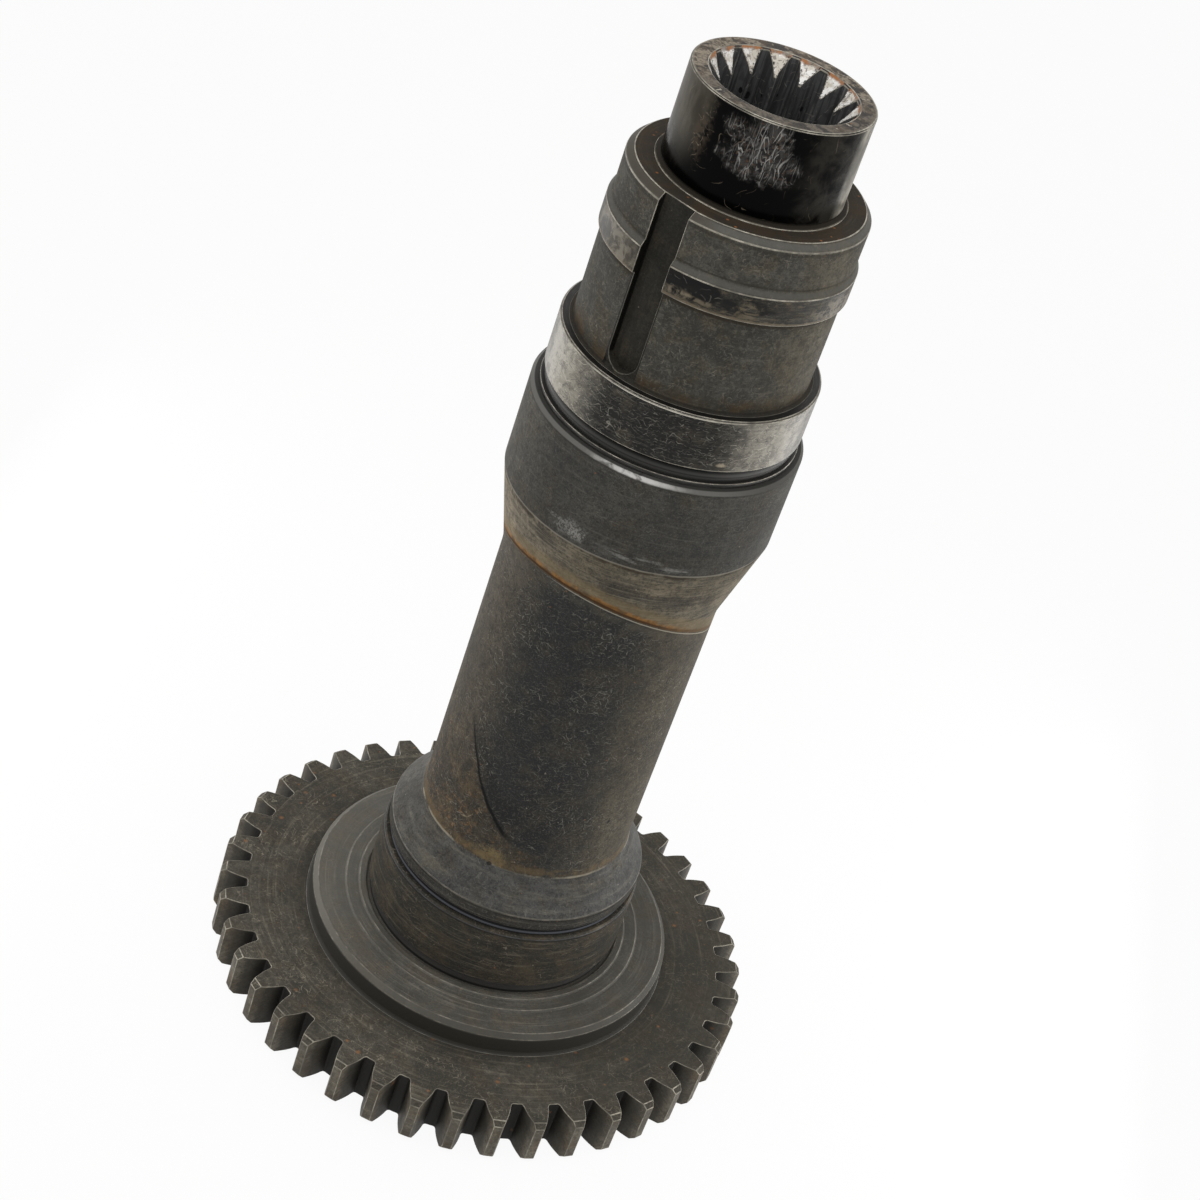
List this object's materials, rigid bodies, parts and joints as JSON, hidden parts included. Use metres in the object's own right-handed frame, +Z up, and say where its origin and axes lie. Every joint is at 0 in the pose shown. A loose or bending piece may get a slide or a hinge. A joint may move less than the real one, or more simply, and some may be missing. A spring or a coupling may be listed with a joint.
{
  "type": "drive shaft",
  "caption": "Hollow drive shaft with a spur gear at its foot, ground bearing seats, a keyed collar and an internal spline in its open top.",
  "frame": {"origin": "centre of the gear's lower face, on the shaft's axis", "axes": "+Z up the shaft's axis from the gear to the splined end; -Y points to the picture's viewer, +X to the viewer's right"},
  "size_m": [0.2198, 0.22, 0.4054],
  "materials": {
    "forged_steel": "oxidised satin, ground seats glossy"
  },
  "bodies": {
    "root": {"drive_shaft": "forged_steel"}
  },
  "joints": []
}
